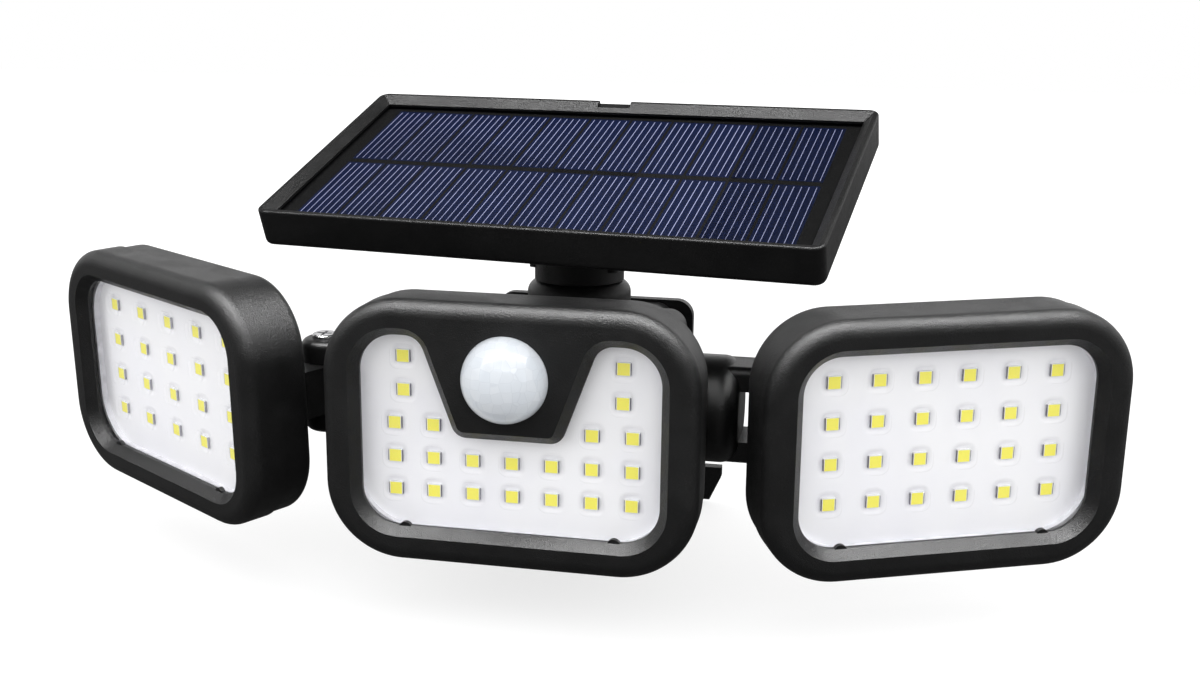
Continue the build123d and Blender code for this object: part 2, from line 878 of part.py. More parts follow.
put("wall_bracket", at_front, bracket())
put("bracket_screws", at_front, arm_screws())
put("battery_case", at_front, case())
put("case_lid", at_front, case_lid())
put("lid_screws", at_front, lid_screws())
put("swivel_seals", at_front, [seat.location * swivel_seal() for seat, _, _, _ in collars])
put("cell_holder", at_front, holder())
put("battery_cells", at_front, cells())
put("cell_contacts", at_front, contacts())
put("control_board", at_front, control_board())
put("board_chips", at_front, chips())
put("board_screws", at_front, board_screws())
put("push_switch", at_front, push_switch())
put("mode_key", at_front, mode_key())

put("middle_bezel", at_front, bezel(True))
put("middle_lens", at_front, lens(True, middle_places()))
put("middle_gasket", at_front, gasket(True))
put("middle_led_board", at_front, led_board())
put("middle_leds", at_front, diodes(middle_places()))
put("middle_bezel_screws", at_front, cover_screws())
put("sensor_dome", at_front, dome())
put("dome_ring", at_front, dome_ring())
put("sensor_can", at_front, sensor())

side_stem = collar_h + case_wall + stem_over
top_stem = top_collar_h + case_wall + stem_over
sides = [
    ("left", -1, left_seat, left_tilt_deg, left_swing_deg, left_cols),
    ("right", 1, right_seat, right_tilt_deg, right_swing_deg, right_cols),
]


def put_yoke(name, place, sizes, stem_len):
    hinge_h = sizes[-1]
    put(name + "_yoke", place, yoke(sizes, stem_len))
    put(name + "_hinge_screw", place, hinge_screw(hinge_h))
    put(name + "_hinge_nut", place, hinge_nut(hinge_h))
    put(name + "_swivel_washer", place, keeper(stem_len))
    put(name + "_swivel_screw", place, keeper_bolt(stem_len))


for name, side, seat, tilt, swing, columns in sides:

    def on_yoke(shape):
        return tilted(seat.location * shape, tilt)

    def on_head(shape):
        return side_head(shape, side, tilt, swing)

    put_yoke(name, on_yoke, side_yoke, side_stem)
    put(name + "_bezel", on_head, bezel(False))
    put(name + "_lens", on_head, lens(False, side_places(columns)))
    put(name + "_gasket", on_head, gasket(False))
    put(name + "_led_board", on_head, led_board())
    put(name + "_leds", on_head, diodes(side_places(columns)))
    put(name + "_rear_cover", on_head, side_cover(-side))
    put(name + "_cover_screws", on_head, cover_screws())

put_yoke("panel", on_top_yoke, top_yoke, top_stem)
put("panel_frame", on_panel, panel_frame())
put("panel_glass", on_panel, in_tray(sheet_z, glass_z))
put("solar_cells", on_panel, solar_cells())
put("panel_back_sheet", on_panel, back_sheet())
put("panel_back_cover", on_panel, back_cover())
put("panel_screws", on_panel, panel_screws())

os.makedirs("parts", exist_ok=True)
for name, shape in nodes.items():
    export_step(shape, "parts/" + name + ".step")
print(len(nodes), "pieces")
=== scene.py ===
import math

import bmesh
import bpy
from bpy.props import FloatProperty, FloatVectorProperty, IntProperty, PointerProperty
from mathutils import Matrix, Vector


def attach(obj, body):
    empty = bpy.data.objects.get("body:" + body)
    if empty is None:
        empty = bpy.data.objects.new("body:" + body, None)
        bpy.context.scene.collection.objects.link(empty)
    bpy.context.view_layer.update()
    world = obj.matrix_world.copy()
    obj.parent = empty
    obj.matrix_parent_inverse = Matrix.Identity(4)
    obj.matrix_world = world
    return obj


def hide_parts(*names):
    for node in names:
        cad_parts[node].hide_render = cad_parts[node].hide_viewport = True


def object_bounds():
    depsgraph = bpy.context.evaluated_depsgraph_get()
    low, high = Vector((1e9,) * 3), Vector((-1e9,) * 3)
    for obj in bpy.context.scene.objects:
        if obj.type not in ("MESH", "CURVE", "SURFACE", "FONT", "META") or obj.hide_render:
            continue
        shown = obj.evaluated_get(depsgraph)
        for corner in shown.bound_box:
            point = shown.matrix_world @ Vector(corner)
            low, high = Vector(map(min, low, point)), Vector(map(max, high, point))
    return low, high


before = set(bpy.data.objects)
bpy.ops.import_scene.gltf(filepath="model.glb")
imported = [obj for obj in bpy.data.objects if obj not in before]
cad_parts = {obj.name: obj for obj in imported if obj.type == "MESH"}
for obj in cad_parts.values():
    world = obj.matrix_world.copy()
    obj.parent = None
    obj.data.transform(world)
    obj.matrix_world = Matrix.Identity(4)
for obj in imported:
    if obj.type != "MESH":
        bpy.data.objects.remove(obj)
cad_low, cad_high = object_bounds()

bl_info = {
    "name": "Motion Sensor Security Light",
    "version": (1, 0, 0),
    "blender": (4, 5, 0),
    "location": "View3D > Sidebar > Security Light",
    "description": "Finishes for a three-head security light with a sensor dome and a solar panel",
    "category": "Object",
}

MM = 0.001
WHITE = (1.0, 1.0, 1.0, 1.0)

# Places and sizes in mm, and angles at rest in degrees.
REACH = 126                # wall to the middle head's front plane
TILT_AXIS = (0, 47.6, 0.5)  # a point on the side swivels' axis, from the front plane
HINGE_OUT = 72.5           # middle to a side hinge screw
HEAD_OUT = 39.1            # hinge screw to the middle of a side head
HEAD_AHEAD = 40.5          # hinge screw to a side head's front plane
LEFT_TURNS = (2.7, -31.5)  # tilt and swing
RIGHT_TURNS = (2.7, 22.3)
PANEL_HINGE = (5, 74, 50.5)
PANEL_TURNS = (-8.4, 20.8)  # turn and tilt
PANEL_RISE = 24            # hinge to the panel's own origin
DIODE_FRONT = 7.56         # face of a diode, behind the head's front plane
BOARD_FRONT = 8.28         # just clear of the board's face
CELLS_WIDE = 158.6
CELLS_DEEP = 77.4
CELL_GAP = 0.9
ROW_GAP = 2.6
CELL_COLUMNS = 11
BATTERY_END = 32.35        # middle to where a battery's sleeve ends


# ---- where the heads and the panel are ---------------------------------------------------


def turn(axis, degrees):
    return Matrix.Rotation(math.radians(degrees), 4, axis)


def shift(x, y, z):
    return Matrix.Translation((x * MM, y * MM, z * MM))


def toned(base, *factors):
    """A colour scaled by one factor, or by one for each channel, with full alpha."""
    if len(factors) == 1:
        factors *= 3
    return (*(value * factor for value, factor in zip(base, factors)), 1.0)


MIDDLE = shift(0, -REACH, 0)
PIVOT = shift(*TILT_AXIS)


def side_head(side, tilt, swing):
    """Place of a side head: its front plane is at y = 0, with y growing to the back."""
    tilted = PIVOT @ turn("X", tilt) @ PIVOT.inverted()
    hinge = shift(side * HINGE_OUT, TILT_AXIS[1], 0)
    return MIDDLE @ tilted @ hinge @ turn("Z", swing) @ shift(side * HEAD_OUT, -HEAD_AHEAD, 0)


LEFT = side_head(-1, *LEFT_TURNS)
RIGHT = side_head(1, *RIGHT_TURNS)
PANEL = MIDDLE @ shift(*PANEL_HINGE) @ turn("Z", PANEL_TURNS[0]) @ turn("X", PANEL_TURNS[1])
PANEL = PANEL @ shift(0, 0, PANEL_RISE)
HEADS = {"left": LEFT, "middle": MIDDLE, "right": RIGHT}


def diode_rows(head):
    """Middle of each diode in a head, in x and z from the head's centre, in mm."""
    if head == "middle":
        rows = [(-32.3, 32.3), (-32.3, 32.3), (-35.2, -23.47, 23.47, 35.2)]
        rows += [[-35.2 + 70.4 / 6 * i for i in range(7)]] * 2
        return [(x, 21.3 - 10.05 * k) for k, row in enumerate(rows) for x in row]
    count = 5 if head == "left" else 6
    span, tall = 67.2, 36.6
    return [
        (span * (i / (count - 1) - 0.5), 1.4 + tall * (k / 3 - 0.5))
        for k in range(4)
        for i in range(count)
    ]


# ---- settings ---------------------------------------------------------------------------


def colour(name, text, value):
    return FloatVectorProperty(
        name=name, description=text, subtype="COLOR", size=4, min=0.0, max=1.0, default=(*value, 1.0)
    )


class LightColours(bpy.types.PropertyGroup):
    shell: colour("Housing", "Black of the moulded housings", (0.0034, 0.0034, 0.0036))
    panel_shell: colour("Panel frame", "Black of the panel's frame", (0.0034, 0.0034, 0.0035))
    board: colour("Diode board", "White of the diode boards", (0.98, 0.98, 1.0))
    phosphor: colour("Phosphor", "Yellow of the diodes", (1.0, 0.95, 0.15))
    cover: colour("Cover", "Tint of the clear covers", (0.965, 0.965, 1.0))
    dome: colour("Dome", "Milky white of the sensor dome", (0.72, 0.78, 0.86))
    cell: colour("Solar cell", "Blue of the solar cells", (0.0010, 0.0066, 0.044))
    finger: colour("Cell lines", "Silver of the printed lines on the cells", (0.42, 0.45, 0.70))
    green: colour("Control board", "Green of the control board", (0.012, 0.12, 0.045))
    wrap: colour("Battery wrap", "Sleeve of the battery cells", (0.03, 0.13, 0.42))


class LightSizes(bpy.types.PropertyGroup):
    grain: FloatProperty(
        name="Grain", description="Width of a cell of the moulded grain, in millimetres",
        default=0.42, min=0.05, max=3.0,
    )
    grain_depth: FloatProperty(
        name="Grain depth", description="How deep the moulded grain looks", default=1.0, min=0.0, max=2.0,
    )
    diode_width: FloatProperty(
        name="Diode width", description="Width of a diode over its contacts",
        default=0.0044, min=0.001, unit="LENGTH",
    )
    diode_height: FloatProperty(
        name="Diode height", description="Height of a diode's package",
        default=0.0040, min=0.001, unit="LENGTH",
    )
    phosphor_rim: FloatProperty(
        name="Diode rim", description="White rim around a diode's phosphor",
        default=0.00016, min=0.00005, unit="LENGTH",
    )
    dish: FloatProperty(
        name="Dish", description="Width of the shallow dish around a diode",
        default=0.0088, min=0.001, unit="LENGTH",
    )
    fingers: IntProperty(
        name="Lines on a cell", description="Printed lines on each solar cell", default=6, min=1, max=20,
    )
    finger_width: FloatProperty(
        name="Line width", description="Width of a printed line, in millimetres", default=0.2, min=0.05,
    )


class StageSettings(bpy.types.PropertyGroup):
    key: FloatProperty(
        name="Top light", description="Power of the strip light above", default=38.0, unit="POWER",
    )
    front: FloatProperty(
        name="Front light", description="Power of the strip light in front", default=3.4, unit="POWER",
    )
    side: FloatProperty(name="Side lights", description="Power of each side light", default=0.8, unit="POWER")
    sky: FloatProperty(name="Surround", description="Strength of the even light all round", default=1.45)
    floor: colour("Floor", "Colour of the floor", (0.32, 0.32, 0.32))


def colours():
    return bpy.context.scene.light_colours


def sizes():
    return bpy.context.scene.light_sizes


# ---- wiring materials -----------------------------------------------------------------------


class Net:
    """Adds and joins the nodes of one material or node group."""

    def __init__(self, tree):
        self.tree = tree

    def put(self, socket, value):
        if isinstance(value, bpy.types.NodeSocket):
            self.tree.links.new(value, socket)
        else:
            socket.default_value = value

    def add(self, kind, inputs=None, **settings):
        made = self.tree.nodes.new("ShaderNode" + kind)
        for key, value in settings.items():
            setattr(made, key, value)
        for key, value in (inputs or {}).items():
            self.put(made.inputs[key], value)
        return made

    def math(self, operation, a, b=0.0, c=0.0):
        made = self.add("Math", {0: a, 1: b, 2: c}, operation=operation)
        return made.outputs[0]

    def mix(self, factor, a, b, blend="MIX"):
        made = self.add("Mix", data_type="RGBA", blend_type=blend)
        for index, value in ((0, factor), (6, a), (7, b)):
            self.put(made.inputs[index], value)
        return made.outputs[2]

    def ramp(self, value, low, high, to_low=0.0, to_high=1.0, smooth=True):
        made = self.add(
            "MapRange", {0: value, 1: low, 2: high, 3: to_low, 4: to_high},
            interpolation_type="SMOOTHSTEP" if smooth else "LINEAR",
        )
        return made.outputs[0]

    def place(self, matrix=None):
        """Object coordinates in mm, in a piece's own frame where a matrix is given."""
        point = self.add("TexCoord").outputs["Object"]
        if matrix is not None:
            point = self.add(
                "Mapping",
                {"Vector": point, "Location": matrix.translation, "Rotation": matrix.to_euler("XYZ")},
                vector_type="TEXTURE",
            ).outputs[0]
        return self.add("Mapping", {"Vector": point, "Scale": (1000, 1000, 1000)}).outputs[0]

    def group(self, tree, inputs):
        made = self.add("Group", node_tree=tree)
        for key, value in inputs.items():
            self.put(made.inputs[key], value)
        return made


def new_material(name):
    material = bpy.data.materials.new(name)
    material.use_nodes = True
    net = Net(material.node_tree)
    surface = material.node_tree.nodes["Principled BSDF"]
    return material, net, surface


def new_group(name, inputs, outputs):
    tree = bpy.data.node_groups.new(name, "ShaderNodeTree")
    for socket, kind, value in inputs:
        made = tree.interface.new_socket(socket, in_out="INPUT", socket_type="NodeSocket" + kind)
        if value is not None:
            made.default_value = value
    for socket, kind in outputs:
        tree.interface.new_socket(socket, in_out="OUTPUT", socket_type="NodeSocket" + kind)
    net = Net(tree)
    start = tree.nodes.new("NodeGroupInput")
    end = tree.nodes.new("NodeGroupOutput")
    return tree, net, start.outputs, end.inputs


def moulded_grain():
    """Fine leather-like grain of a moulded shell, with soft mottling."""
    tree, net, given, out = new_group(
        "Moulded grain",
        [("Vector", "Vector", None), ("Size", "Float", 0.4), ("Mottle size", "Float", 9.0)],
        [("Height", "Float"), ("Mottle", "Float")],
    )
    rate = net.math("DIVIDE", 1.0, given["Size"])
    slow = net.math("MULTIPLY", rate, 0.6)
    warp = net.add("TexNoise", {"Vector": given["Vector"], "Scale": slow, "Detail": 2.0})
    bent = net.add(
        "VectorMath", {0: given["Vector"], 1: warp.outputs["Color"]}, operation="ADD",
    ).outputs[0]
    cells = net.add("TexVoronoi", {"Vector": bent, "Scale": rate}, feature="SMOOTH_F1")
    quick = net.math("MULTIPLY", rate, 2.4)
    fine = net.add("TexNoise", {"Vector": given["Vector"], "Scale": quick, "Detail": 3.0})
    height = net.math("ADD", net.math("MULTIPLY", cells.outputs["Distance"], 0.8), fine.outputs[0])
    net.put(out["Height"], height)
    wide = net.math("DIVIDE", 1.0, given["Mottle size"])
    broad = net.add("TexNoise", {"Vector": given["Vector"], "Scale": wide, "Detail": 4.0})
    net.put(out["Mottle"], net.ramp(broad.outputs[0], 0.3, 0.7))
    return tree


def handling_marks():
    """Faint smears and specks that break up a smooth surface."""
    tree, net, given, out = new_group(
        "Handling marks",
        [("Vector", "Vector", None), ("Smear size", "Float", 14.0)],
        [("Smear", "Float"), ("Specks", "Float")],
    )
    rate = net.math("DIVIDE", 1.0, given["Smear size"])
    smear = net.add("TexNoise", {"Vector": given["Vector"], "Scale": rate, "Detail": 5.0, "Distortion": 0.6})
    net.put(out["Smear"], net.ramp(smear.outputs[0], 0.35, 0.75))
    dots = net.add("TexVoronoi", {"Vector": given["Vector"], "Scale": 0.9})
    net.put(out["Specks"], net.ramp(dots.outputs["Distance"], 0.1, 0.04))
    return tree


def effect(make):
    """A shared node group, built the first time that a material asks for it."""
    name = make.__name__.replace("_", " ").capitalize()
    return bpy.data.node_groups.get(name) or make()


def bump(net, height, strength, distance=0.0001):
    return net.add("Bump", {"Height": height, "Strength": strength, "Distance": distance}).outputs[0]


def black_plastic(name, base, grain, depth, low=0.34, high=0.44, gloss=0.5):
    """Grained black moulding."""
    material, net, surface = new_material(name)
    point = net.place()
    marks = net.group(effect(moulded_grain), {"Vector": point, "Size": grain})
    worn = net.group(effect(handling_marks), {"Vector": point})
    tone = net.mix(marks.outputs["Mottle"], toned(base, 0.78, 0.78, 0.8), toned(base, 1.3))
    dusty = net.mix(net.math("MULTIPLY", worn.outputs["Specks"], 0.05), tone, (0.25, 0.25, 0.25, 1.0))
    net.put(surface.inputs["Base Color"], dusty)
    rough = net.math("ADD", net.math("MULTIPLY", marks.outputs["Height"], 0.08), low - 0.06)
    rough = net.math("ADD", rough, net.math("MULTIPLY", worn.outputs["Smear"], high - low))
    net.put(surface.inputs["Roughness"], rough)
    net.put(surface.inputs["Normal"], bump(net, marks.outputs["Height"], depth))
    surface.inputs["Specular IOR Level"].default_value = gloss
    return material


def rubber(name, base):
    material, net, surface = new_material(name)
    point = net.place()
    marks = net.group(effect(moulded_grain), {"Vector": point, "Size": 0.25, "Mottle size": 3.0})
    tone = net.mix(marks.outputs["Mottle"], (*base, 1.0), toned(base, 1.25))
    net.put(surface.inputs["Base Color"], tone)
    net.put(surface.inputs["Roughness"], net.ramp(marks.outputs["Mottle"], 0, 1, 0.7, 0.85))
    net.put(surface.inputs["Normal"], bump(net, marks.outputs["Height"], 0.25, 0.00005))
    return material


def metal(name, base, low, high):
    """Plated or blackened metal with faint rings of machining marks."""
    material, net, surface = new_material(name)
    point = net.place()
    worn = net.group(effect(handling_marks), {"Vector": point, "Smear size": 1.6})
    rings = net.add(
        "TexWave", {"Vector": point, "Scale": 5.0, "Distortion": 1.5, "Detail": 2.0}, wave_type="RINGS",
    )
    tone = net.mix(worn.outputs["Smear"], (*base, 1.0), toned(base, 0.7, 0.7, 0.72))
    net.put(surface.inputs["Base Color"], tone)
    surface.inputs["Metallic"].default_value = 1.0
    net.put(surface.inputs["Roughness"], net.ramp(worn.outputs["Smear"], 0, 1, low, high))
    net.put(surface.inputs["Normal"], bump(net, rings.outputs["Fac"], 0.12, 0.00003))
    return material


def light_plastic(name, base, gloss=0.45):
    material, net, surface = new_material(name)
    point = net.place()
    marks = net.group(effect(moulded_grain), {"Vector": point, "Size": 0.6, "Mottle size": 5.0})
    net.put(surface.inputs["Base Color"], net.mix(marks.outputs["Mottle"], (*base, 1.0), toned(base, 0.9)))
    net.put(surface.inputs["Roughness"], net.ramp(marks.outputs["Mottle"], 0, 1, gloss, gloss + 0.12))
    net.put(surface.inputs["Normal"], bump(net, marks.outputs["Height"], 0.1, 0.00005))
    return material


# ---- pieces -----------------------------------------------------------------------------


def dress(node, *materials):
    """Gives a CAD node its finish."""
    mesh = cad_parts[node].data
    mesh.materials.clear()
    for material in materials:
        mesh.materials.append(material)


def finish_mesh(bm, name, matrix, body, materials, replaces=(), smooth=30):
    """Puts a modelled piece in its place in the row frame and lets it ride on its body."""
    mesh = bpy.data.meshes.new(name)
    bmesh.ops.transform(bm, matrix=matrix, verts=bm.verts)
    bm.to_mesh(mesh)
    bm.free()
    for material in materials:
        mesh.materials.append(material)
    piece = bpy.data.objects.new(name, mesh)
    bpy.context.scene.collection.objects.link(piece)
    mesh.shade_smooth()
    mesh.set_sharp_from_angle(angle=math.radians(smooth))
    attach(piece, body)
    if replaces:
        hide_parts(*replaces)
    return piece


def add_box(bm, low, high, material=0, bevel=0.0, segments=2):
    """A box between two corners in mm, its edges rounded where asked. Returns its faces."""
    low, high = Vector(low) * MM, Vector(high) * MM
    made = bmesh.ops.create_cube(bm, size=1.0)["verts"]
    bmesh.ops.scale(bm, vec=high - low, verts=made)
    bmesh.ops.translate(bm, vec=(low + high) / 2, verts=made)
    faces = list({f for v in made for f in v.link_faces})
    if bevel:
        edges = list({e for v in made for e in v.link_edges})
        cut = bmesh.ops.bevel(
            bm, geom=edges, offset=bevel * MM, offset_type="OFFSET", segments=segments,
            profile=0.5, affect="EDGES", material=-1,
        )
        faces = list({f for v in cut["verts"] for f in v.link_faces} | {f for f in faces if f.is_valid})
    for face in faces:
        face.material_index = material
    return faces


def head_body(head):
    return "lamp_body" if head == "middle" else head + "_lamp"


class LIGHT_OT_shells(bpy.types.Operator):
    """Grained black finish on the heads, the battery case, the swivels and the bracket"""

    bl_idname = "security_light.shells"
    bl_label = "Moulded shells"

    def execute(self, context):
        base, size = colours().shell[:3], sizes()
        grained = black_plastic("Housing plastic", base, size.grain, size.grain_depth)
        smooth = black_plastic("Swivel plastic", base, size.grain * 0.7, size.grain_depth * 0.45, 0.28, 0.4)
        frame_black = black_plastic(
            "Panel plastic", colours().panel_shell[:3], size.grain, size.grain_depth * 0.6, gloss=0.24,
        )
        for head in HEADS:
            dress(head + "_bezel", grained)
        for side in ("left", "right"):
            dress(side + "_rear_cover", grained)
        for node in ("battery_case", "case_lid", "wall_bracket"):
            dress(node, grained)
        for where in ("left", "right", "panel"):
            dress(where + "_yoke", smooth)
        for node in ("panel_frame", "panel_back_cover"):
            dress(node, frame_black)
        return {"FINISHED"}


def dish():
    """A shallow rounded-square dish over a face's own UV, from 0 in its floor to 1 at its edge, and a second
    output that is a painted shade on the dish's upper-left side.
    """
    tree, net, given, out = new_group(
        "Dish", [("UV", "Vector", None), ("Floor", "Float", 0.35)], [("Height", "Float"), ("Painted shade", "Float")],
    )
    split = net.add("SeparateXYZ", {0: given["UV"]})
    far = []
    for axis in (0, 1):
        centred = net.math("MULTIPLY_ADD", split.outputs[axis], 2.0, -1.0)
        far.append(net.math("POWER", net.math("ABSOLUTE", centred), 3.0))
    reach = net.math("POWER", net.math("ADD", far[0], far[1]), 1.0 / 3.0)
    net.put(out["Height"], net.ramp(reach, given["Floor"], 0.97))
    # Painted shade: a ring inside the dish, strongest on its upper-left side and absent on its lower-right
    # side.
    rise = net.math("SUBTRACT", split.outputs[1], split.outputs[0])
    ring = net.ramp(net.math("ABSOLUTE", net.math("SUBTRACT", reach, 0.68)), 0.0, 0.28, 1.0, 0.0)
    net.put(out["Painted shade"], net.math("MULTIPLY", ring, rise))
    return tree


class LIGHT_OT_boards(bpy.types.Operator):
    """White diode boards with a shallow dish around each diode, each dish with a painted shade on its
    upper-left side
    """

    bl_idname = "security_light.boards"
    bl_label = "Diode boards"

    def execute(self, context):
        for head, matrix in HEADS.items():
            material, net, surface = new_material(head.capitalize() + " board white")
            point = net.place(matrix)
            marks = net.group(effect(handling_marks), {"Vector": point, "Smear size": 30.0})
            base = colours().board[:3]
            tone = net.mix(marks.outputs["Smear"], (*base, 1.0), toned(base, 0.96, 0.96, 0.98))
            net.put(surface.inputs["Base Color"], tone)
            net.put(surface.inputs["Roughness"], net.ramp(marks.outputs["Smear"], 0, 1, 0.5, 0.62))
            dress(head + "_led_board", material)

            dished = material.copy()
            dished.name = head.capitalize() + " dish white"
            net = Net(dished.node_tree)
            surface = dished.node_tree.nodes["Principled BSDF"]
            cup = net.group(effect(dish), {"UV": net.add("TexCoord").outputs["UV"]})
            flat = surface.inputs["Base Color"].links[0].from_socket
            # Painted shade: the upper-left side of each dish is mixed toward grey, on top of the dish's bump.
            shade = net.math("MULTIPLY", net.ramp(cup.outputs["Painted shade"], 0.0, 0.9), 0.22)
            net.put(surface.inputs["Base Color"], net.mix(shade, flat, (0.52, 0.52, 0.58, 1.0)))
            net.put(surface.inputs["Normal"], bump(net, cup.outputs["Height"], 1.0, 0.0006))
            bm = bmesh.new()
            bm.loops.layers.uv.new("UVMap")
            for x, z in diode_rows(head):
                made = bmesh.ops.create_grid(
                    bm, x_segments=1, y_segments=1, size=sizes().dish / 2, matrix=turn("X", 90), calc_uvs=True,
                )
                bmesh.ops.translate(bm, vec=(x * MM, BOARD_FRONT * MM, z * MM), verts=made["verts"])
            finish_mesh(bm, head + "_dishes", matrix, head_body(head), (dished,))
        return {"FINISHED"}


class LIGHT_OT_diodes(bpy.types.Operator):
    """Surface-mounted diodes: white package, yellow phosphor inset flush in its face, tinned contacts"""

    bl_idname = "security_light.diodes"
    bl_label = "Diodes"

    def execute(self, context):
        package = light_plastic("Diode package", (0.86, 0.86, 0.88))
        phosphor, net, surface = new_material("Diode phosphor")
        point = net.place()
        grain = net.add("TexNoise", {"Vector": point, "Scale": 6.0, "Detail": 4.0})
        base = colours().phosphor
        net.put(
            surface.inputs["Base Color"],
            net.mix(net.ramp(grain.outputs[0], 0.35, 0.7), base, toned(base, 1.0, 0.94, 0.6)),
        )
        net.put(surface.inputs["Roughness"], net.ramp(grain.outputs[0], 0.3, 0.7, 0.35, 0.5))
        net.put(surface.inputs["Normal"], bump(net, grain.outputs[0], 0.2, 0.00005))
        contact = metal("Diode contact", (0.42, 0.42, 0.46), 0.3, 0.45)
        wide, tall = sizes().diode_width / MM / 2, sizes().diode_height / MM / 2
        rim = sizes().phosphor_rim
        for head, matrix in HEADS.items():
            bm = bmesh.new()
            for x, z in diode_rows(head):
                low = (x - wide + 0.22, DIODE_FRONT, z - tall)
                faces = add_box(bm, low, (x + wide - 0.22, BOARD_FRONT, z + tall), 0, 0.1, 2)
                front = min(faces, key=lambda f: f.calc_center_median().y)
                bmesh.ops.inset_region(bm, faces=[front], thickness=rim, depth=0)
                front.material_index = 1
                for side in (-1, 1):
                    inner, outer = sorted((side * (wide - 0.5), side * wide))
                    low, high = (x + inner, 7.62, z - tall + 0.25), (x + outer, 8.27, z + tall - 0.25)
                    add_box(bm, low, high, 2, 0.06, 1)
            finish_mesh(
                bm, head + "_diodes", matrix, head_body(head), (package, phosphor, contact),
                (head + "_leds",),
            )
        return {"FINISHED"}


def clear_sheet(name, tint, rough):
    """Clear moulding, seen mostly by its gloss at a slant."""
    material, net, surface = new_material(name)
    point = net.place()
    marks = net.group(effect(handling_marks), {"Vector": point, "Smear size": 18.0})
    hazed = toned(tint, 0.98, 0.98, 1.0)
    net.put(surface.inputs["Base Color"], net.mix(marks.outputs["Smear"], tint, hazed))
    net.put(surface.inputs["Roughness"], net.ramp(marks.outputs["Smear"], 0, 1, rough, rough + 0.03))
    slant = net.add("LayerWeight", {"Blend": 0.25}).outputs["Fresnel"]
    veil = net.ramp(marks.outputs["Smear"], 0, 1, 0.008, 0.02)
    net.put(surface.inputs["Alpha"], net.math("MULTIPLY_ADD", slant, 0.06, veil))
    return material


class LIGHT_OT_covers(bpy.types.Operator):
    """Clear covers over the diode boards, and their seals"""

    bl_idname = "security_light.covers"
    bl_label = "Clear covers"

    def execute(self, context):
        clear = clear_sheet("Clear cover", tuple(colours().cover), 0.02)
        seal = rubber("Light seal", (0.72, 0.72, 0.75))
        for head in HEADS:
            dress(head + "_lens", clear)
            dress(head + "_gasket", seal)
        dress("swivel_seals", rubber("Black seal", (0.012, 0.012, 0.012)))
        return {"FINISHED"}


class LIGHT_OT_sensor(bpy.types.Operator):
    """Milky sensor dome with its facets, its ring and the metal sensor can"""

    bl_idname = "security_light.sensor"
    bl_label = "Motion sensor"

    def execute(self, context):
        material, net, surface = new_material("Sensor dome")
        point = net.place(MIDDLE @ shift(0, 1, 18))
        pattern = {"Vector": point, "Scale": 0.33, "Randomness": 0.45}
        facets = net.add("TexVoronoi", pattern, feature="F1")
        edges = net.add("TexVoronoi", pattern, feature="DISTANCE_TO_EDGE")
        line = net.ramp(edges.outputs["Distance"], 0.0, 0.05, 1.0, 0.0)
        base = colours().dome
        tone = net.mix(facets.outputs["Color"], base, toned(base, 1.12, 1.1, 1.08))
        tone = net.mix(net.math("MULTIPLY", line, 0.25), tone, (0.55, 0.6, 0.68, 1.0))
        net.put(surface.inputs["Base Color"], tone)
        net.put(surface.inputs["Roughness"], net.ramp(facets.outputs["Distance"], 0, 0.6, 0.16, 0.24))
        surface.inputs["Subsurface Weight"].default_value = 0.6
        surface.inputs["Subsurface Radius"].default_value = (1.0, 1.0, 1.0)
        surface.inputs["Subsurface Scale"].default_value = 0.003
        net.put(surface.inputs["Normal"], bump(net, facets.outputs["Distance"], 0.35, 0.0004))
        dress("sensor_dome", material)
        dress("dome_ring", light_plastic("Dome ring plastic", (0.6, 0.6, 0.58)))
        dress("sensor_can", metal("Sensor can metal", (0.62, 0.6, 0.56), 0.22, 0.4))
        return {"FINISHED"}


